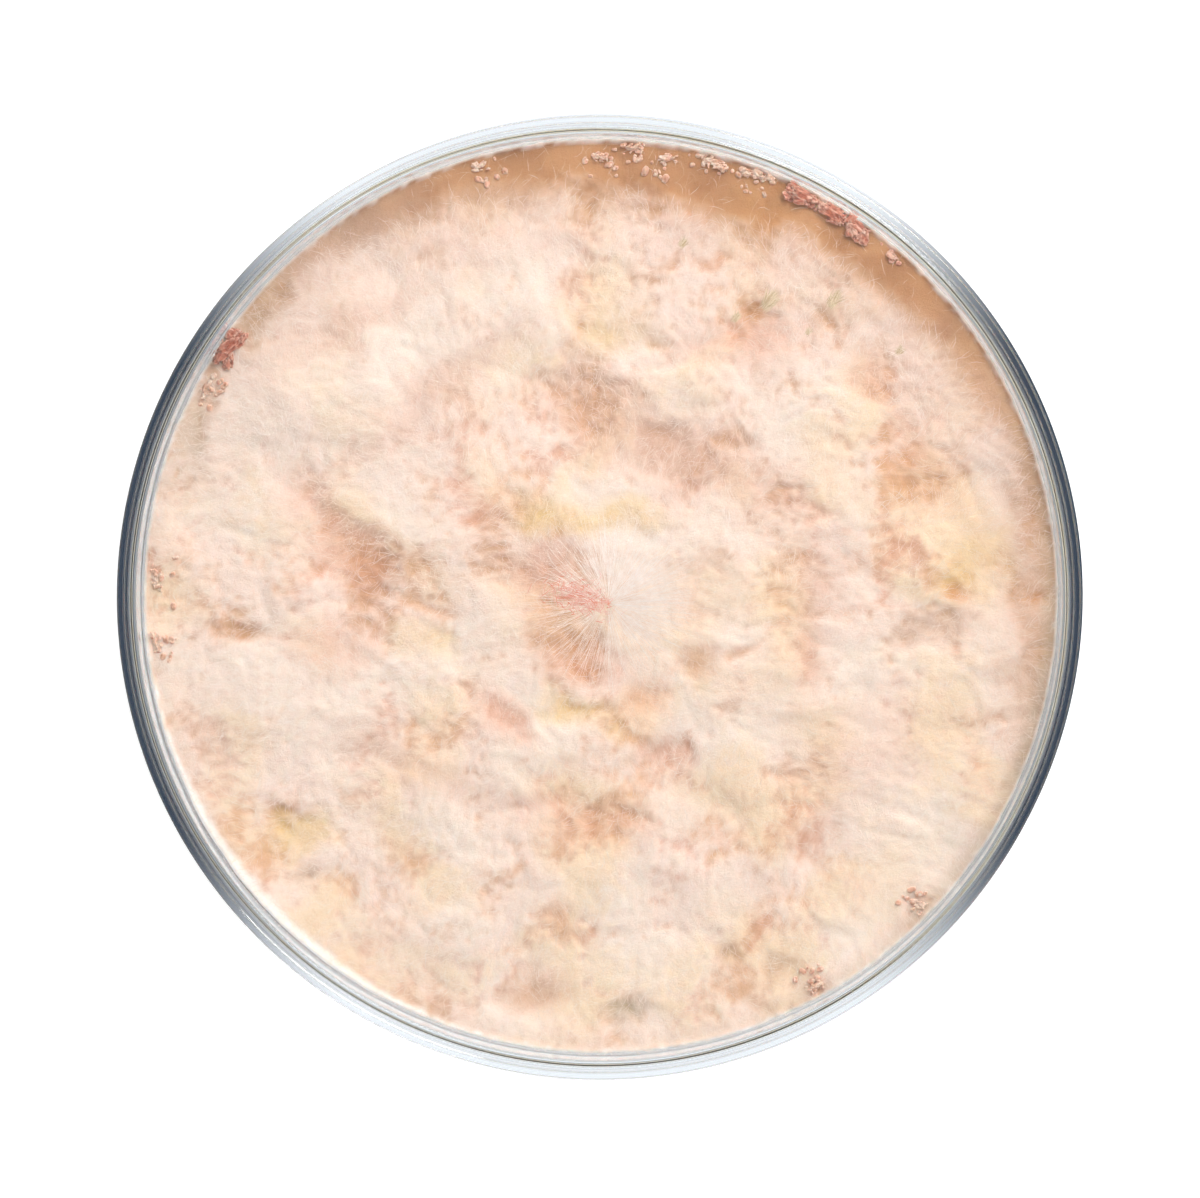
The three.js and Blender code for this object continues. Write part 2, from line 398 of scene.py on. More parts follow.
def blunt_edge(outer_radius, level, rounding, start):
    """The two rounded corners of a wall's free edge, from its outer face at 0 or its inner one at 180."""
    inwards = outer_radius - WALL + rounding
    outwards = outer_radius - rounding
    first, second = (outwards, inwards) if start == 0 else (inwards, outwards)
    corner = arc(first, level, rounding, start, start + 90)
    return corner + arc(second, level, rounding, start + 90, start + 180)


def turned(name, outline):
    """A closed solid turned about Z. Its outline runs out along the underside and back over the top."""
    angles = np.linspace(0, 2 * math.pi, SIDES, endpoint=False)
    rings = outline[1:-1]
    points = [(0, 0, outline[0][1])]
    for radius, height in rings:
        points += [(radius * math.cos(a), radius * math.sin(a), height) for a in angles]
    points.append((0, 0, outline[-1][1]))
    faces = []
    last = len(points) - 1
    for side in range(SIDES):
        after = (side + 1) % SIDES
        faces.append((0, 1 + after, 1 + side))
        for ring in range(len(rings) - 1):
            low, high = 1 + ring * SIDES, 1 + (ring + 1) * SIDES
            faces.append((low + side, low + after, high + after, high + side))
        top = 1 + (len(rings) - 1) * SIDES
        faces.append((last, top + side, top + after))
    thing = mesh_object(name, points, faces)
    thing.data.set_sharp_from_angle(angle=math.radians(SHARP_EDGE))
    return thing


def dish_outline():
    corner = 1.0
    fillet = 1.0
    rim_height = DISH_HEIGHT - RIM_ROUNDING
    floor_top = FOOT + FLOOR
    flare = DISH_DRAFT / (rim_height - corner)
    inner_radius = RIM_RADIUS - WALL - flare * (rim_height - floor_top - fillet)
    foot_outer = BASE_RADIUS - corner
    return [
        (0, FOOT),
        (foot_outer - FOOT_WIDTH - FOOT, FOOT),
        (foot_outer - FOOT_WIDTH, 0),
        *arc(foot_outer, corner, corner, -90, 0),
        *blunt_edge(RIM_RADIUS, rim_height, RIM_ROUNDING, 0),
        *arc(inner_radius - fillet, floor_top + fillet, fillet, 0, -90),
        (0, floor_top),
    ]


def lid_outline():
    fillet = 0.5
    return [
        (0, PLATE_UNDERSIDE),
        *arc(SKIRT_INNER_RADIUS - fillet, PLATE_UNDERSIDE - fillet, fillet, 90, 0),
        *blunt_edge(SKIRT_BOTTOM_RADIUS, SKIRT_BOTTOM + SKIRT_ROUNDING, SKIRT_ROUNDING, 180),
        *blunt_edge(SKIRT_TOP_RADIUS, PLATE_TOP + STACKING_RIM - LID_ROUNDING, LID_ROUNDING, 0),
        (SKIRT_INNER_RADIUS - 0.1, PLATE_TOP),
        (0, PLATE_TOP),
    ]


def agar_outline():
    bevel = 1.0
    climb = 1.5
    radius = agar_high.x
    return [
        (0, AGAR_BOTTOM),
        (radius - bevel, AGAR_BOTTOM),
        (radius, AGAR_BOTTOM + bevel),
        (radius, AGAR_TOP + MENISCUS),
        (radius - climb / 5, AGAR_TOP + MENISCUS / 2),
        (radius - climb / 2, AGAR_TOP + MENISCUS / 6),
        (radius - climb, AGAR_TOP),
        (0, AGAR_TOP),
    ]


plastic = clear_plastic()
place(turned("dish_base_clear", dish_outline()), "dish", "clear_plastic", ["dish_base"], plastic)
place(turned("lid_clear", lid_outline()), "lid", "clear_plastic", ["lid"], plastic)
place(turned("agar_gel_disc", agar_outline()), "dish", "agar_gel", ["agar_medium"], agar_gel())

# ---- The culture: colours ----
# Lilac, olive, tan and rust also stand for painted shade: beside the shelf and the wall, in the shade
# patches, under the tufts and on the strip by the wall.
YOUNG = linear("fffaf6")
PALE = linear("ffe9da")
PINK = linear("fbe2d3")
CREAM = linear("fce0c2")
YELLOW = linear("f0cd88")
PEACH = linear("e2ab78")
TAN = linear("cc9461")
OCHRE = linear("b98758")
RUST = linear("b27a48")
ORANGE = linear("d8925a")
ROSY = linear("dc9c78")
LILAC = linear("d4a588")
OLIVE = linear("ae9a78")
CORAL = linear("ee7450")

# Patches of growth, and of painted shade, that stand out: name, x, y, half length, half width, turn, sink,
# colour, strength.
# The rows named shade and the grey edges paint shade into the colour; the long fold is a sunken fold with
# painted shade in its colour.
PATCHES = [
    ("hollow above the middle", 1.6, 27.7, 4.0, 3.0, 10, 0.5, YELLOW, 0.75),
    ("fold down from the top", -1.5, 22.0, 2.5, 9.0, 8, 0.35, TAN, 0.45),
    ("brown hollow at the upper right", 14.5, 26.6, 8.0, 3.0, 5, 0.6, ROSY, 0.75),
    ("orange hollow at the upper right", 28.6, 22.6, 3.0, 2.5, -30, 0.4, ORANGE, 0.6),
    ("long fold over the middle", 8.0, 15.0, 14.0, 4.2, -22, 0.7, LILAC, 0.95),
    ("rosy trench at the left", -28.0, 6.5, 8.5, 3.0, -52, 0.7, ROSY, 0.7),
    ("its foot", -24.5, 5.2, 3.0, 1.4, 20, 0.3, ORANGE, 0.2),
    ("left hollow", -18.2, -5.0, 3.5, 1.6, -15, 0.4, YELLOW, 0.7),
    ("hollow at the left edge", -37.4, -3.4, 2.5, 1.4, 0, 0.5, TAN, 0.8),
    ("rosy shade at the left", -28.0, -5.0, 4.0, 3.2, 0, 0.3, ROSY, 0.5),
    ("hollow left of the middle", -6.0, 2.4, 4.2, 5.4, 0, 0.45, ROSY, 0.8),
    ("tan side of the starburst", -3.0, -4.2, 4.8, 5.4, 0, 0.4, TAN, 0.9),
    ("shade under the starburst", -2.0, -6.5, 5.5, 3.0, -20, 0.35, ROSY, 0.6),
    ("brown pit right of the middle", 10.2, -6.8, 2.4, 1.8, -20, 0.7, TAN, 0.9),
    ("second brown pit", 14.5, -6.0, 1.6, 0.9, 10, 0.4, TAN, 0.7),
    ("yellow hollow below the middle", -3.1, -11.9, 5.0, 1.8, -15, 0.5, YELLOW, 0.8),
    ("rosy hollow at the lower left of it", -10.0, -12.6, 3.8, 2.4, -40, 0.45, ROSY, 0.75),
    ("orange hollow below the middle", 4.2, -11.4, 2.6, 2.2, 60, 0.5, ORANGE, 0.7),
    ("rosy hollow below", 6.2, -16.6, 3.5, 2.0, 0, 0.5, ROSY, 0.7),
    ("rosy fold at the lower middle", -2.0, -23.0, 8.0, 2.2, -12, 0.6, ROSY, 0.7),
    ("shade at the lower left", -20.0, -18.0, 9.0, 2.4, -25, 0.4, LILAC, 0.5),
    ("yellow pit at the lower left", -31.0, -24.6, 3.4, 2.0, 5, 0.6, YELLOW, 0.9),
    ("brown spot under it", -30.0, -28.6, 1.5, 1.2, 0, 0.5, OCHRE, 0.7),
    ("orange spot low down", -4.2, -33.6, 1.3, 2.0, 0, 0.35, ORANGE, 0.6),
    ("hollow by the lower wall", -6.2, -41.4, 3.6, 2.0, 0, 0.6, TAN, 0.8),
    ("second hollow by the wall", 3.1, -43.0, 3.2, 1.8, 0, 0.5, OLIVE, 0.7),
    ("pit at the lower right", 13.0, -37.4, 2.2, 1.4, -20, 0.5, OCHRE, 0.7),
    ("second pit there", 19.0, -39.3, 2.4, 1.3, 20, 0.5, OCHRE, 0.6),
    ("rosy fleck at the wall", 22.6, -40.2, 1.3, 1.2, 0, 0.3, ROSY, 0.8),
    # Painted shadow under the tufts, which cast none: tan, with the mat sunk a little.
    ("painted shadow under a tuft", 16.2, 29.0, 2.0, 1.1, 52, 0.2, TAN, 0.7),
    ("painted shadow under the next tuft", 23.0, 29.2, 1.8, 1.0, 52, 0.2, TAN, 0.7),
    ("painted shadow under the tuft near the top", 8.0, 35.6, 1.4, 0.9, 52, 0.2, TAN, 0.6),
    ("tan edge at the right", 44.8, -1.0, 3.4, 21.0, 0, 0.4, TAN, 0.75),
    ("grey band at the right", 27.0, -17.0, 10.0, 6.0, 40, 0.3, LILAC, 0.35),
    ("tan patch at the right", 33.0, 14.0, 7.0, 3.5, -60, 0.5, ORANGE, 0.5),
    ("yellow patch at the right", 38.5, 4.5, 3.5, 6.0, 0, 0.3, YELLOW, 0.75),
    ("orange spot in it", 37.6, -0.2, 1.6, 1.4, 0, 0.4, ORANGE, 0.75),
    ("hollow under it", 34.5, -3.5, 4.5, 1.8, 10, 0.5, OCHRE, 0.5),
    ("orange dot by the wall", 45.2, -0.3, 0.9, 0.9, 0, 0.3, ORANGE, 0.8),
    ("peach patch at the lower right", 30.0, -28.5, 7.0, 4.0, 30, 0.0, CREAM, 0.7),
    ("yellow arc over the middle", 0.5, 8.2, 7.5, 1.6, 3, -0.1, YELLOW, 0.85),
    ("its left end", -6.5, 8.8, 2.5, 1.8, 0, 0.1, YELLOW, 0.8),
    ("pale cushion right of the middle", 6.0, 1.0, 6.5, 6.0, 0, -0.45, PALE, 0.8),
    ("pale cushion at the upper left", -26.0, 24.0, 15.0, 9.0, 30, -0.4, PALE, 0.7),
    ("grey shade at the upper left", -17.0, 21.0, 11.0, 2.2, 38, 0.3, LILAC, 0.5),
    ("grey shade in the cushion", -26.0, 28.0, 8.0, 1.8, 25, 0.3, LILAC, 0.5),
    # Painted shade near the rim at the left and upper left.
    ("grey edge at the left", -42.4, 15.8, 2.2, 5.0, -10, 0.4, OLIVE, 0.55),
    ("grey edge at the upper left", -34.0, 30.0, 4.0, 3.0, 45, 0.3, OLIVE, 0.45),
    ("pale cushion at the left edge", -38.5, -15.0, 3.5, 6.5, 20, -0.1, PALE, 0.6),
    ("pink cushion by the lower wall", -21.0, -37.5, 8.0, 3.6, -28, -0.1, PINK, 0.5),
    ("pale cushion at the top right", 24.0, 35.0, 8.0, 2.5, -28, -0.2, PALE, 0.7),
    ("pale cushion at the right", 36.0, 22.0, 3.0, 8.0, 20, -0.3, PALE, 0.6),
    ("lilac shade right of the middle", 22.0, -1.0, 3.0, 8.0, -10, 0.3, LILAC, 0.55),
    ("coral fleck right of the middle", 21.5, -5.5, 1.4, 3.0, -10, 0.1, ROSY, 0.5),
]


# Every random field of the mat: its name, the width of its bumps, and its seed.
FIELDS = {
    "wander x": (5.0, 1),
    "small wander x": (1.6, 2),
    "wander y": (5.0, 3),
    "small wander y": (1.6, 4),
    "roll": (15.0, 5),
    "swell": (7.0, 6),
    "cushions": (4.2, 7),
    "small cushions": (2.1, 8),
    "nap": (0.9, 9),
    "clouds": (5.5, 10),
    "small clouds": (2.6, 11),
    "specks": (1.2, 12),
    "small specks": (0.6, 22),
    "cover": (14.0, 13),
    "small cover": (7.0, 14),
    "warmth": (9.0, 15),
    "peach ground": (8.0, 16),
    "tan ground": (10.0, 17),
    "shelf": (6.0, 18),
    "strip_ground_and_shade": (6.0, 19),
    "fringe": (1.2, 20),
    "climb": (1.6, 21),
    "edge": (3.0, 61),
    "flow": (8.0, 50),
    "small flow": (2.5, 51),
}


def field(name, x, y):
    """One of the mat's random fields, from about -1 to 1."""
    width, seed = FIELDS[name]
    return bumps(x, y, width, seed)


def towards(colour, share, other):
    """The colour at every point, moved a share of the way to another colour."""
    return colour + share[..., None] * (other - colour)


def mat_edge(angle):
    """How far the mat reaches at an angle."""
    turn = np.radians(angle)
    read_at = 40  # the radius of the circle that the field is read along
    ragged = field("edge", read_at * np.cos(turn), read_at * np.sin(turn))
    return MAT_RADIUS - 0.06 * (1 + ragged)


class Spot:
    """Points in the dish, with what the mat's relief and colours depend on there."""

    def __init__(self, x, y):
        self.x, self.y = x, y
        self.radius = np.hypot(x, y)
        self.angle = np.degrees(np.arctan2(y, x))
        self.edge = mat_edge(self.angle)
        self.wander_x = x + WANDER * self.plain("wander x") + SMALL_WANDER * self.plain("small wander x")
        self.wander_y = y + WANDER * self.plain("wander y") + SMALL_WANDER * self.plain("small wander y")
        self.clouds = 0.75 * self.grown("clouds") + 0.65 * self.grown("small clouds")
        self.specks = 0.60 * self.plain("specks") + 0.42 * self.plain("small specks")
        self.spots = self.clouds + self.specks

    def plain(self, name):
        """A field as it is."""
        return field(name, self.x, self.y)

    def grown(self, name):
        """A field whose bumps are pulled about by the wander."""
        return field(name, self.wander_x, self.wander_y)

    def band(self, start, end):
        """From 0 to 1 between two distances in from the mat's edge."""
        return smoothstep(self.radius, self.edge - start, self.edge - end)


def relief(spot):
    """The mat's height over its middle level, apart from its patches and edges."""
    roll = ROLL * spot.plain("roll") + SWELL * spot.grown("swell")
    cushions = np.abs(spot.grown("cushions")) + 0.5 * np.abs(spot.grown("small cushions"))
    return roll + CUSHIONS * (cushions - 0.5) + NAP * spot.plain("nap")


def open_growth(spot):
    """The mat's colour apart from its patches and edges, and how bare of fluff it is, from 0 to 1."""
    cover = 0.7 * spot.plain("cover") + 0.5 * spot.grown("small cover") + COVER
    bare = smoothstep(0.8 * spot.spots - 0.9 * cover, -0.35, 1.1)
    to_lower_right = smoothstep(spot.x - spot.y, -30, 40)
    warmth = smoothstep(spot.grown("warmth") + 0.3 * to_lower_right, -0.2, 0.7)
    fluff = towards(PINK, warmth, CREAM)
    fluff = towards(fluff, smoothstep(cover + 0.4 * spot.spots, -0.1, 0.9), PALE)
    ground = towards(ROSY, smoothstep(spot.plain("peach ground"), -0.5, 0.1), PEACH)
    ground = towards(ground, smoothstep(spot.plain("tan ground"), -0.1, 0.6), TAN)
    return towards(fluff, GROUND_SHOWS * bare, ground), bare


def with_patches(spot, height, colour, bare):
    """Adds the patches, each a soft oval whose outline follows the clouds."""
    broken = 0.66 + 0.28 * smoothstep(0.6 * spot.clouds + 0.8 * spot.specks, -0.8, 0.8)
    for _, at_x, at_y, half_length, half_width, turn, sink, tint, strength in PATCHES:
        cosine, sine = math.cos(math.radians(turn)), math.sin(math.radians(turn))
        right, up = spot.wander_x - at_x, spot.wander_y - at_y
        along = (right * cosine + up * sine) / half_length
        across = (up * cosine - right * sine) / half_width
        inside = 1 - smoothstep(np.hypot(along, across) - 0.25 * spot.clouds - 0.08 * spot.specks, 0.0, 1.5)
        share = strength * inside * broken
        height = height - sink * inside
        colour = towards(colour, share, tint)
        bare = np.maximum(bare, 0.6 * share) if sink > 0 else bare * (1 - inside)
    return height, colour, bare


def with_painted_shade(spot, colour):
    """Paints shade into the fluff's colour beside the shelf and beside the wall, where the wall would
    shadow it.
    """
    shade = SHELF_SHADE * nearness(spot.angle, SHELF_ANGLE, SHELF_SHADE_SPREAD)
    colour = towards(colour, shade * spot.band(*SHELF_SHADE_BAND), LILAC)
    dim = WALL_SHADE + RIGHT_SHADE * nearness(spot.angle, RIGHT_SHADE_ANGLE, RIGHT_SHADE_SPREAD)
    return towards(colour, dim * spot.band(*WALL_SHADE_BAND), OLIVE)


def with_shelf(spot, height, colour, bare):
    """Adds the bare, sunken strip beside the wall. Its colour is the bare ground's tan with painted shade
    from the wall in it.
    """
    width = SHELF_WIDTH * (0.5 + 0.6 * nearness(spot.angle, SHELF_ANGLE, 70))
    width = width + 1.6 * spot.plain("shelf") + spot.spots
    shelf = spot.band(1.3 * width, 0.3 * width) * nearness(spot.angle, SHELF_ANGLE, SHELF_SPREAD)
    height = height * (1 - 0.8 * shelf) - SHELF_DROP * shelf
    # the strip's colour: bare tan ground, darkened further by painted shade from the wall
    strip_ground_and_shade = towards(TAN, np.clip(0.5 + 1.1 * spot.plain("strip_ground_and_shade") + 0.5 * spot.clouds, 0, 1), RUST)
    colour = towards(colour, 0.9 * np.clip(1.4 * shelf, 0, 1), strip_ground_and_shade)
    return height, colour, np.maximum(bare, np.clip(2.2 * shelf, 0, 1))


def with_fringe(spot, height, colour):
    """Adds the young white growth at the mat's very edge, which climbs the wall a little."""
    pulled = nearness(spot.angle, PULL_ANGLE, PULL_SPREAD)
    width = FRINGE + PULL * pulled + SHELF_FRINGE * nearness(spot.angle, SHELF_ANGLE, SHELF_FRINGE_SPREAD)
    width = np.maximum(width + 0.2 * spot.plain("fringe"), THINNEST_FRINGE)
    colour = towards(colour, 0.75 * spot.band(1.5 * width, 0.5 * width), YOUNG)
    climb = CLIMB + PULL_CLIMB * pulled + 0.5 * spot.plain("climb")
    return height + climb * spot.band(0.5, -0.25), colour


def growth(x, y):
    """The mat's surface height and colour at points in the dish, and how bare of fluff it is there. The
    colour holds painted shade as well as the growth's own colours.
    """
    spot = Spot(x, y)
    colour, bare = open_growth(spot)
    height = relief(spot) - BARE_SINK * bare
    height, colour, bare = with_patches(spot, height, colour, bare)
    colour = with_painted_shade(spot, colour)
    height, colour, bare = with_shelf(spot, height, colour, bare)
    height, colour = with_fringe(spot, height, colour)
    return MAT_TOP + height, colour, bare


# Rings of the mat below its edge: how far each stands out, and how far down it is. 1 is the gel's edge and
# 1.5 is the mat's underside.
HANGING_RINGS = [(0.0, 0.33), (0.05, 0.66), (0.0, 1.0), (-0.9, 1.25), (-1.8, 1.5)]


def disc_grid(steps):
    """A square grid bent into a disc of radius 1, so that its cells stay nearly square."""
    line = np.linspace(-1, 1, steps + 1)
    u, v = np.meshgrid(line, line)
    wide = np.abs(u) > np.abs(v)
    safe_u = np.where(wide, u, 1)
    safe_v = np.where(wide | (v == 0), 1, v)
    reach = np.where(wide, u, v)
    turn = np.where(wide, (math.pi / 4) * v / safe_u, math.pi / 2 - (math.pi / 4) * u / safe_v)
    return reach * np.cos(turn), reach * np.sin(turn)


def hanging_ring(rim, number, out, share):
    """One ring of points below the mat's edge, whose points are rim."""
    rim_radius = np.hypot(rim[:, 0], rim[:, 1])
    ragged = bumps(rim[:, 0], rim[:, 1], 1.1, 30 + number)
    radius = rim_radius + out + 0.10 * ragged
    hang = AGAR_TOP + MENISCUS + 0.2
    level = rim[:, 2] + (hang - rim[:, 2]) * min(share, 1)
    if share > 1:
        level = hang + (MAT_BOTTOM - hang) * (share - 1) * 2
    level = level + 0.12 * ragged
    return np.stack([rim[:, 0] / rim_radius * radius, rim[:, 1] / rim_radius * radius, level], -1)


def mycelium_mat():
    """A felt disc: a fine grid over its top, an edge that hangs beside the wall, and a plain underside."""
    steps = 300
    unit_x, unit_y = disc_grid(steps)
    edge = mat_edge(np.degrees(np.arctan2(unit_y, unit_x)))
    x, y = unit_x * edge, unit_y * edge
    height, colour, _ = growth(x, y)
    points = np.stack([x, y, height], -1).reshape(-1, 3)
    colours = colour.reshape(-1, 3)
    index = np.arange((steps + 1) ** 2).reshape(steps + 1, steps + 1)
    top = np.stack([index[:-1, :-1], index[:-1, 1:], index[1:, 1:], index[1:, :-1]], -1).reshape(-1, 4)
    around = np.concatenate([index[0, :-1], index[:-1, -1], index[-1, :0:-1], index[:0:-1, 0]])

    count = len(around)
    rims = [around]
    all_points, all_colours = [points], [colours]
    for number, (out, share) in enumerate(HANGING_RINGS):
        rims.append(len(points) + number * count + np.arange(count))
        all_points.append(hanging_ring(points[around], number, out, share))
        all_colours.append(colours[around] * 0.6 + 0.4 * (PALE * 0.5 + LILAC * 0.5))
    middle = len(points) + len(HANGING_RINGS) * count
    all_points.append(np.array([[0, 0, MAT_BOTTOM]]))
    all_colours.append(np.array([LILAC]))

    faces = [tuple(face) for face in top.tolist()]
    for upper, lower in zip(rims, rims[1:]):
        for side in range(count):
            after = (side + 1) % count
            faces.append((int(upper[side]), int(lower[side]), int(lower[after]), int(upper[after])))
    for side in range(count):
        after = (side + 1) % count
        faces.append((int(rims[-1][side]), middle, int(rims[-1][after])))
    thing = mesh_object("mycelium_felt", np.concatenate(all_points), faces)
    tinted(thing, np.concatenate(all_colours))
    return thing


ROUNDNESS = 0.45  # how much a thread is shaded as a round bar rather than as part of the fluff under it


def tubes(name, lines, thickness, colours):
    """Closed three-sided threads that taper to both ends. lines is (threads, points, 3)."""
    count, knots, _ = lines.shape
    inner = knots - 2
    along = np.gradient(lines, axis=1)
    along /= np.linalg.norm(along, axis=2, keepdims=True) + 1e-9
    side = np.cross(along, np.array([0.03, 0.02, 1.0]))
    side /= np.linalg.norm(side, axis=2, keepdims=True) + 1e-9
    up = np.cross(side, along)
    each = 3 * inner + 2
    points = np.zeros((count, each, 3))
    normals = np.zeros((count, each, 3))
    points[:, 0], points[:, -1] = lines[:, 0], lines[:, -1]
    taper = np.sin(np.linspace(0.25, 0.85, inner) * math.pi) ** 0.5
    for ring in range(inner):
        for corner in range(3):
            turn = 2 * math.pi * corner / 3
            offset = math.cos(turn) * side[:, ring + 1] + math.sin(turn) * up[:, ring + 1]
            row = 1 + 3 * ring + corner
            normals[:, row] = ROUNDNESS * offset
            points[:, row] = lines[:, ring + 1] + offset * (thickness * taper[ring])[:, None]
    triangles = []
    for corner in range(3):
        after = (corner + 1) % 3
        triangles.append((0, 1 + corner, 1 + after))
        triangles.append((each - 1, 3 * inner - 2 + after, 3 * inner - 2 + corner))
        for ring in range(inner - 1):
            low, high = 1 + 3 * ring, 4 + 3 * ring
            triangles.append((low + corner, high + after, low + after))
            triangles.append((low + corner, high + corner, high + after))
    faces = (np.array(triangles)[None] + np.arange(count)[:, None, None] * each).reshape(-1, 3)
    thing = mesh_object(name, points.reshape(-1, 3), faces)
    normals += (0, 0, 1)
    normals /= np.linalg.norm(normals, axis=2, keepdims=True)
    thing.data.normals_split_custom_set_from_vertices(normals.reshape(-1, 3).tolist())
    tinted(thing, np.repeat(colours, each, axis=0))
    return thing


def laid_threads(x, y, heading, length, curl, lift, draws, knots=5):
    """Lines that start on the mat and wander over it, rising by up to `lift` and coming back down."""
    count = len(x)
    share = np.linspace(0, 1, knots)
    path = np.zeros((count, knots, 3))
    at_x, at_y, way = x.copy(), y.copy(), heading.copy()
    for knot in range(knots):
        if knot:
            at_x = at_x + np.cos(way) * length / (knots - 1)
            at_y = at_y + np.sin(way) * length / (knots - 1)
            way = way + curl * draws.normal(1, 0.6, count) / (knots - 1)
        reach = np.hypot(at_x, at_y)
        limit = mat_edge(np.degrees(np.arctan2(at_y, at_x))) + 0.15
        held = np.minimum(1, limit / np.maximum(reach, 1e-6))
        path[:, knot, 0], path[:, knot, 1] = at_x * held, at_y * held
    ground = growth(path[..., 0], path[..., 1])[0]
    path[..., 2] = ground + lift[:, None] * np.sin(math.pi * (0.15 + 0.8 * share)) ** 0.8 - 0.06
    return path


QUARTERS = ("upper_right", "upper_left", "lower_left", "lower_right")
THREADS_PER_QUARTER = 10500
THREADS_REACH = 46.9  # from the axis


def aerial_hyphae(quarter):
    """The loose threads over one quarter of the mat."""
    draws = np.random.default_rng(100 + quarter)
    count = THREADS_PER_QUARTER
    tries = 3 * count
    turn = math.radians(90 * quarter) + draws.uniform(0, math.pi / 2, tries)
    radius = THREADS_REACH * np.sqrt(draws.uniform(0, 1, tries))
    x, y = radius * np.cos(turn), radius * np.sin(turn)
    bare = growth(x, y)[2]
    kept = np.flatnonzero(draws.uniform(0, 1, tries) > 0.9 * bare**2)[:count]
    x, y, count = x[kept], y[kept], len(kept)
    outwards = np.arctan2(y - STAR_Y, x - STAR_X)
    flow = outwards + 1.4 * field("flow", x, y) + 1.1 * field("small flow", x, y)
    heading = flow + draws.normal(0, 0.55, count)
    length = draws.uniform(0.7, 2.4, count)
    lift = draws.uniform(0.08, 0.5, count) ** 1.3
    lines = laid_threads(x, y, heading, length, draws.normal(0, 0.9, count), lift, draws)
    # each thread takes the mat's colour at its root, painted shade included, and is lightened
    ground = growth(x, y)[1]
    shade = draws.uniform(0.15, 0.85, count)[:, None]
    colours = ground + shade * (linear("fff3ea") - ground)
    thickness = draws.uniform(0.012, 0.025, count)
    return tubes("aerial_hyphae_" + QUARTERS[quarter], lines, thickness, colours)


mycelium_paint = mycelium("mycelium_felt", 0.5)
thread_paint = threads("hyphae")
place(mycelium_mat(), "dish", "mycelium", ["mycelium_mat"], mycelium_paint)
for quarter_number in range(4):
    airy(place(aerial_hyphae(quarter_number), "dish", "mycelium", [], thread_paint))


# ---- The starburst in the middle, and its coral knot ----
KNOT_X, KNOT_Y = -2.3, -0.1


def starburst():
    """Threads that radiate from the middle, most of them to the right."""
    draws = np.random.default_rng(200)
    count = 1500
    all_round = draws.uniform(0, 2 * math.pi, count)
    to_the_right = math.radians(15) + draws.normal(0, 0.9, count)
    heading = np.where(draws.uniform(0, 1, count) < 0.4, all_round, to_the_right)
    start = 5.0 * draws.uniform(0, 1, count) ** 1.1
    x = STAR_X + start * np.cos(heading)
    y = STAR_Y + start * np.sin(heading)
    length = draws.uniform(2.0, 6.5, count)
    lift = draws.uniform(0.1, 0.7, count)
    lines = laid_threads(x, y, heading, length, draws.normal(0, 0.25, count), lift, draws, knots=7)
    colours = PALE + draws.uniform(0, 1, count)[:, None] * (linear("fff6f0") - PALE)
    return tubes("centre_starburst", lines, draws.uniform(0.011, 0.022, count), colours)


def coral_threads():
    """Short coral threads in a tangle beside the starburst's middle."""
    draws = np.random.default_rng(210)
    count = 480
    spread = draws.normal(0, 1, (count, 2))
    x = KNOT_X + 1.5 * spread[:, 0]
    y = KNOT_Y + 0.8 * spread[:, 1] - 0.25 * (x - KNOT_X)
    heading = np.arctan2(STAR_Y - y, STAR_X - x) + draws.normal(0, 0.7, count)
    length = draws.uniform(0.5, 1.6, count)
    lift = draws.uniform(0.25, 0.8, count)
    lines = laid_threads(x, y, heading, length, draws.normal(0, 1.2, count), lift, draws)
    shade = draws.uniform(0, 1, count)[:, None]
    colours = CORAL + shade * (linear("fbcdbd") - CORAL)
    return tubes("coral_knot", lines, draws.uniform(0.02, 0.055, count), colours)


airy(place(starburst(), "dish", "mycelium", ["centre_tuft"], thread_paint))
airy(place(coral_threads(), "dish", "coral_threads", [], threads("coral_threads")))


# ---- Grey-green tufts that lean over the mat, all towards the upper right ----
TUFT_HEADING = 52
TUFT_ROOT, TUFT_TIP = linear("c09f74"), linear("f0dcba")

# Each row: x, y, length, number of threads.
TUFTS = [
    (17.0, 30.0, 2.4, 220),
    (23.8, 30.2, 2.1, 180),
    (13.8, 28.6, 1.3, 80),
    (21.4, 27.2, 1.0, 50),
    (30.8, 25.2, 1.2, 60),
    (8.3, 36.3, 1.3, 80),
]


def olive_tufts():
    draws = np.random.default_rng(220)
    lines, colours, thickness = [], [], []
    for at_x, at_y, size, count in TUFTS:
        x = at_x + 0.10 * size * draws.normal(0, 1, count)
        y = at_y + 0.10 * size * draws.normal(0, 1, count)
        heading = math.radians(TUFT_HEADING) + draws.normal(0, 0.2, count)
        length = size * draws.uniform(0.4, 1.0, count)
        lift = size * draws.uniform(0.05, 0.35, count)
        lines.append(laid_threads(x, y, heading, length, draws.normal(0, 0.4, count), lift, draws))
        shade = draws.uniform(0, 1, count)[:, None]
        colours.append(TUFT_ROOT + shade * (TUFT_TIP - TUFT_ROOT))
        thickness.append(draws.uniform(0.02, 0.045, count))
    return tubes("olive_tufts", np.concatenate(lines), np.concatenate(thickness), np.concatenate(colours))


airy(place(olive_tufts(), "dish", "mycelium", [], thread_paint))


# ---- Crusts and crumbs beside the wall ----
def ball(detail):
    """The points and triangles of a ball of radius 1."""
    shape = bmesh.new()
    bmesh.ops.create_icosphere(shape, subdivisions=detail, radius=1)
    points = np.array([vertex.co[:] for vertex in shape.verts])
    faces = np.array([[vertex.index for vertex in face.verts] for face in shape.faces])
    shape.free()
    return points, faces


BALLS = {detail: ball(detail) for detail in (3, 4, 5)}


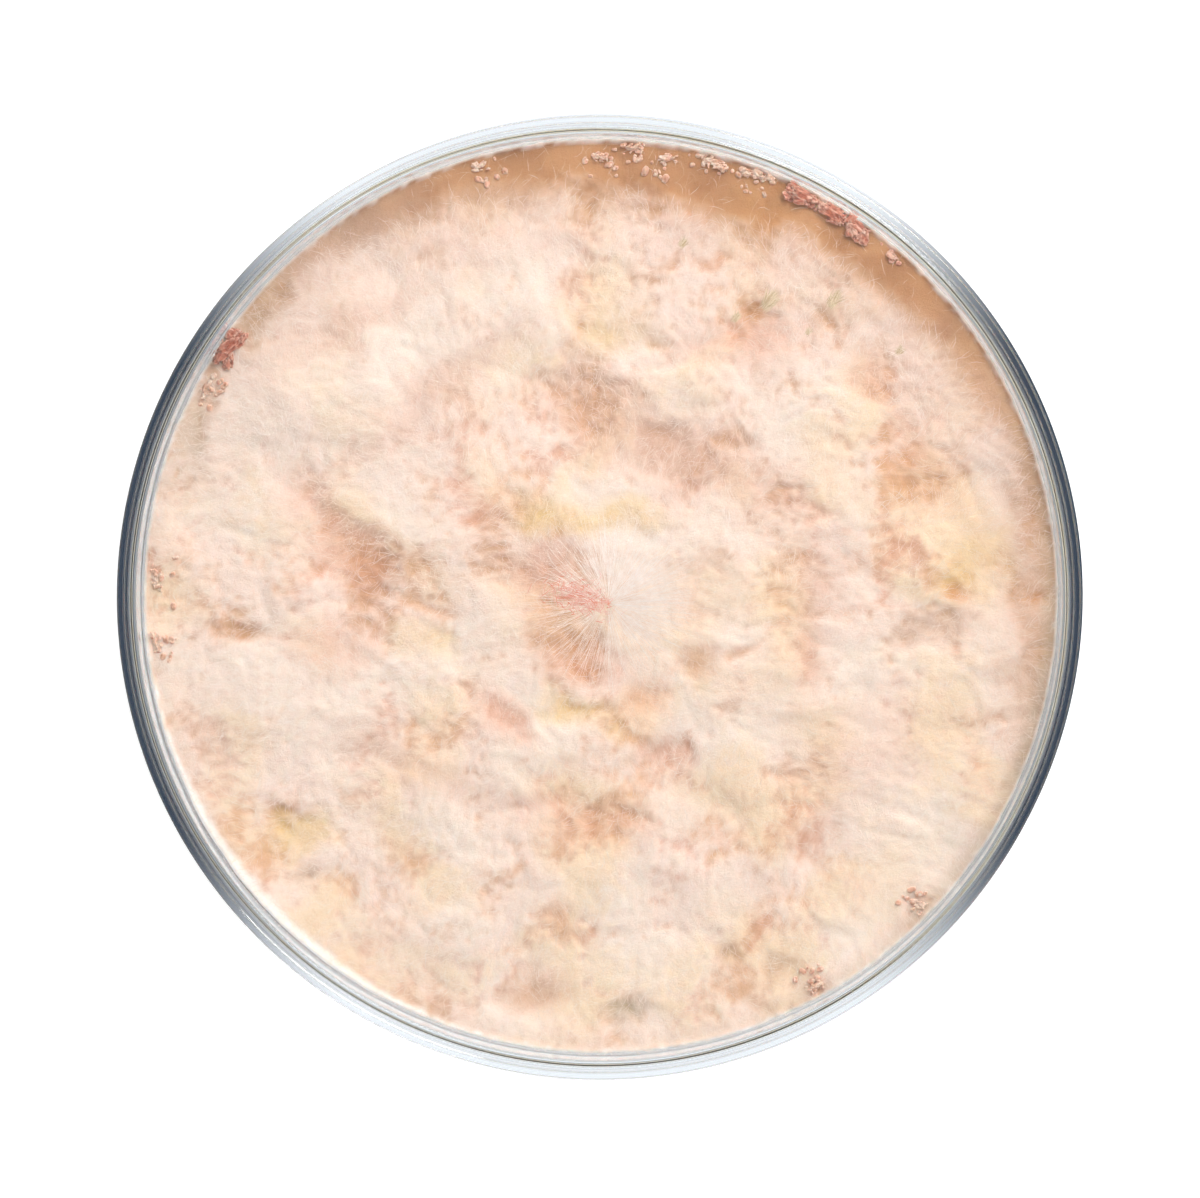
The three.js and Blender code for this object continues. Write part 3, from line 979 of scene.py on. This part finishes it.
def lump(at, size, turn, seed, detail, boxy, craggy):
    """A craggy grain: a ball pulled towards a box and pushed in and out by noise."""
    points, faces = BALLS[detail]
    points = np.sign(points) * np.abs(points) ** boxy
    shift = Vector((seed * 3.7, seed * 1.3, seed * 5.1))
    ratio = max(size) / 2
    swell = []
    for point in points:
        where = Vector(point) * ratio + shift
        crag = noise.fractal(where * 0.9, 0.9, 2.1, 5)
        fold = abs(noise.noise(where * 1.7))
        swell.append(1 + craggy * (0.8 * crag - 0.9 * fold + 0.2))
    points = points * np.array(swell)[:, None] * np.array(size) / 2
    cosine, sine = math.cos(turn), math.sin(turn)
    x = points[:, 0] * cosine - points[:, 1] * sine + at[0]
    y = points[:, 0] * sine + points[:, 1] * cosine + at[1]
    reach = np.hypot(x, y)
    held = np.minimum(1, (MAT_RADIUS + 0.05) / reach)
    return np.stack([x * held, y * held, points[:, 2] + at[2]], -1), faces


OUT_TO_WALL = 0.8  # how far the crusts lean out towards the wall


def lie_of(node):
    """A CAD lump's centre moved out towards the wall, its turn, its directions and its three sizes."""
    corners = np.array([vertex.co[:] for vertex in frame["nodes"][node].data.vertices]) / MM
    centre = (corners.max(0) + corners.min(0)) / 2
    turn = math.atan2(centre[1], centre[0]) + math.pi / 2
    along = np.array([math.cos(turn), math.sin(turn), 0])
    inwards = np.array([-along[1], along[0], 0])
    sizes = np.ptp(corners @ along), np.ptp(corners @ inwards), np.ptp(corners[:, 2])
    return centre - OUT_TO_WALL * inwards, turn, along, inwards, sizes


def mat_level(x, y):
    """The mat's height at one place."""
    return float(growth(np.array([x]), np.array([y]))[0][0])


def heap(node, paint, slot, seed, bulk, boxy, craggy, flakes, grains, grain_size, spread):
    """One CAD lump, as a craggy body under thin flakes, with loose grains beside it."""
    draws = np.random.default_rng(300 + seed)
    centre, turn, along, inwards, (length, width, height) = lie_of(node)
    ground = mat_level(centre[0], centre[1])
    at = (centre[0], centre[1], ground + 0.25 * height)
    core = (0.75 * bulk * length, 0.6 * bulk * width, 0.8 * min(bulk, 1) * height)
    bodies = [lump(at, core, turn + draws.normal(0, 0.15), seed, 5, boxy, craggy)]
    for flake in range(flakes):
        offset = along * draws.uniform(-0.5, 0.5) * length + inwards * draws.uniform(-0.35, 0.45) * width
        x, y = (centre + offset)[:2]
        level = ground + draws.uniform(0.15, 0.55) * height
        size = bulk * draws.uniform(0.15, 0.4) * length
        shape = (size, size * draws.uniform(0.35, 0.7), 0.3 * height)
        way = turn + draws.normal(0, 0.6)
        bodies.append(lump((x, y, level), shape, way, seed * 17 + flake, detail=4, boxy=0.75, craggy=1.1))
    for grain in range(grains):
        offset = along * draws.normal(0, 0.45 * length) + inwards * draws.uniform(-0.3, spread)
        x, y = (centre + offset)[:2]
        size = grain_size * draws.uniform(0.5, 1.2)
        level = mat_level(x, y) + 0.25 * size
        shape = (size * draws.uniform(1.0, 1.7), size, size * draws.uniform(0.6, 0.9))
        way = draws.uniform(0, math.pi)
        bodies.append(lump((x, y, level), shape, way, seed * 31 + grain, detail=3, boxy=0.85, craggy=0.5))
    points, faces, start = [], [], 0
    for body_points, body_faces in bodies:
        points.append(body_points)
        faces.append(body_faces + start)
        start += len(body_points)
    thing = mesh_object(node + "_heap", np.concatenate(points), np.concatenate(faces))
    return place(thing, "dish", slot, [node], paint)


SALMON_HEAP = dict(bulk=1.3, boxy=0.6, craggy=0.55, flakes=7, grains=5, grain_size=0.45, spread=0.9)
PALE_HEAP = dict(bulk=0.7, boxy=0.85, craggy=0.9, flakes=14, grains=12, grain_size=0.45, spread=2.0)
CRUMB_HEAP = dict(bulk=0.65, boxy=0.95, craggy=0.9, flakes=11, grains=11, grain_size=0.5, spread=2.2)

salmon_paint = crust("salmon_crust", "d27c5f", "f5bfa8", "964a31")
pale_paint = crust("pale_crust", "f0b493", "ffd9c3", "b3714a")
crust_nodes = [name for name in frame["nodes"] if name.startswith(("crust", "crumb"))]
for seed, name in enumerate(crust_nodes):
    if name.startswith(("crust_upper", "crumb_right", "crust_left_1")):
        heap(name, salmon_paint, "salmon_crust", seed, **SALMON_HEAP)
    elif name.startswith("crust"):
        heap(name, pale_paint, "pale_crumb", seed, **PALE_HEAP)
    else:
        heap(name, pale_paint, "pale_crumb", seed, **CRUMB_HEAP)


# ---- The room: floor, lights and camera ----
SLATE = (0.010, 0.028, 0.058)
PALE_BLUE = (0.90, 0.95, 1.0)
SIDES_START, SIDES_END = 0.5, 0.9  # where slate begins and is full, as the sideways share of a direction
HIGH_START, HIGH_END = 0.2, 0.55  # where the world turns from slate to white, as the upward share
UNDER_DISH = 47.3  # the floor within this radius stays white in the plastic
ROOM_LIGHT = 0.58
FLOOR_LIGHT = 0.6  # the floor's own light, to the camera
CARD_LIGHT = 1.02  # and to the clear plastic
FLOOR_HALF = 3000
FLOOR_LEVEL = -0.02


def eased(nodes, links, source, start, end, low, high):
    """From low to high, smoothly, as the source goes from start to end."""
    made = nodes.new("ShaderNodeMapRange")
    made.interpolation_type = "SMOOTHSTEP"
    ends = {"From Min": start, "From Max": end, "To Min": low, "To Max": high}
    for socket, value in ends.items():
        made.inputs[socket].default_value = value
    links.new(source, made.inputs["Value"])
    return made.outputs["Result"]


def towards_sides(nodes, links, direction):
    """From 0 straight ahead and behind to 1 at the left and right."""
    flat = nodes.new("ShaderNodeVectorMath")
    flat.operation = "MULTIPLY"
    flat.inputs[1].default_value = (1, 1, 0)
    links.new(direction, flat.inputs[0])
    unit = nodes.new("ShaderNodeVectorMath")
    unit.operation = "NORMALIZE"
    links.new(flat.outputs["Vector"], unit.inputs[0])
    split = nodes.new("ShaderNodeSeparateXYZ")
    links.new(unit.outputs["Vector"], split.inputs[0])
    sideways = nodes.new("ShaderNodeMath")
    sideways.operation = "ABSOLUTE"
    links.new(split.outputs["X"], sideways.inputs[0])
    return eased(nodes, links, sideways.outputs[0], SIDES_START, SIDES_END, 0, 1)


def floor():
    """A plain white floor. The clear plastic bends slate into view from beside the dish, left and right."""
    paint = Paint("studio_floor", (0.9, 0.9, 0.9), 0.8)
    sides = towards_sides(paint.nodes, paint.links, paint.place)
    away = paint.node("ShaderNodeVectorMath", [(0, paint.place)], operation="LENGTH").outputs["Value"]
    outside = paint.range(away, (UNDER_DISH - 0.5) * MM, (UNDER_DISH + 0.5) * MM, 0, 1)
    shade = paint.node("ShaderNodeMath", [(0, sides), (1, outside)], operation="MULTIPLY")
    cards = paint.node("ShaderNodeEmission")
    paint.links.new(paint.mix(shade.outputs[0], PALE_BLUE, SLATE), cards.inputs["Color"])
    cards.inputs["Strength"].default_value = CARD_LIGHT
    paint.shader.inputs["Emission Color"].default_value = (1, 1, 1, 1)
    paint.shader.inputs["Emission Strength"].default_value = FLOOR_LIGHT
    mixed = by_ray(paint.nodes, paint.links, "Is Camera Ray", paint.shader.outputs[0], cards.outputs[0])
    paint.links.new(mixed, paint.output.inputs["Surface"])
    signs = ((-1, -1), (1, -1), (1, 1), (-1, 1))
    corners = [(x * FLOOR_HALF, y * FLOOR_HALF, FLOOR_LEVEL) for x, y in signs]
    thing = mesh_object("studio_floor", corners, [(0, 1, 2, 3)], smooth=False)
    thing.data.materials.append(paint.material)
    thing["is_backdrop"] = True


def world():
    """A white room to the camera. Its light is white overhead and dark low down at the left and right."""
    made = bpy.data.worlds.new("room")
    made.use_nodes = True
    nodes, links = made.node_tree.nodes, made.node_tree.links
    lit = nodes["Background"]
    direction = nodes.new("ShaderNodeTexCoord").outputs["Generated"]
    split = nodes.new("ShaderNodeSeparateXYZ")
    links.new(direction, split.inputs[0])
    share = nodes.new("ShaderNodeMath")
    share.operation = "MULTIPLY"
    links.new(towards_sides(nodes, links, direction), share.inputs[0])
    links.new(eased(nodes, links, split.outputs["Z"], HIGH_START, HIGH_END, 1, 0), share.inputs[1])
    mixed = nodes.new("ShaderNodeMix")
    mixed.data_type = "RGBA"
    mixed.inputs[6].default_value = (1.0, 1.0, 1.0, 1)
    mixed.inputs[7].default_value = (*SLATE, 1)
    links.new(share.outputs[0], mixed.inputs[0])
    links.new(mixed.outputs[2], lit.inputs["Color"])
    lit.inputs["Strength"].default_value = ROOM_LIGHT
    plain = nodes.new("ShaderNodeBackground")
    plain.inputs["Color"].default_value = (1, 1, 1, 1)
    either = by_ray(nodes, links, "Is Camera Ray", plain.outputs[0], lit.outputs[0])
    links.new(either, nodes["World Output"].inputs["Surface"])
    bpy.context.scene.world = made


def softbox(name, at, size, power):
    """A round soft light that faces the dish."""
    light = bpy.data.lights.new(name, "AREA")
    light.shape = "DISK"
    light.size = size * MM
    light.energy = power
    lamp = bpy.data.objects.new(name, light)
    bpy.context.scene.collection.objects.link(lamp)
    lamp.location = Vector(at) * MM
    lamp.rotation_mode = "QUATERNION"
    lamp.rotation_quaternion = (-lamp.location).to_track_quat("-Z", "Y")


CAMERA_DISTANCE = 1400
FRAME_WIDTH = 124.3  # of the view, at the lid
TILT = 2.5
TILT_TOWARDS = 45
AIM = (0, -0.25, 11.0)
SENSOR_WIDTH = 36


def camera():
    """Almost straight down, a little from the upper right."""
    data = bpy.data.cameras.new("camera")
    data.sensor_width = SENSOR_WIDTH
    data.lens = data.sensor_width * CAMERA_DISTANCE / FRAME_WIDTH
    data.clip_start, data.clip_end = 0.05, 20
    thing = bpy.data.objects.new("camera", data)
    bpy.context.scene.collection.objects.link(thing)
    tilt, turn = math.radians(TILT), math.radians(TILT_TOWARDS)
    back = Vector((math.sin(tilt) * math.cos(turn), math.sin(tilt) * math.sin(turn), math.cos(tilt)))
    right = Vector((0, 1, 0)).cross(back).normalized()
    turned_to = Matrix((right, back.cross(right), back)).transposed().to_4x4()
    thing.matrix_world = Matrix.Translation((Vector(AIM) + back * CAMERA_DISTANCE) * MM) @ turned_to
    bpy.context.scene.camera = thing


floor()
world()
softbox("key", at=(250, 420, 520), size=320, power=2.2)
camera()
bpy.context.scene.view_settings.view_transform = "Standard"
cycles = bpy.context.scene.cycles
cycles.max_bounces = 32
cycles.transmission_bounces = 32
cycles.glossy_bounces = 16
cycles.diffuse_bounces = 5
cycles.transparent_max_bounces = 16
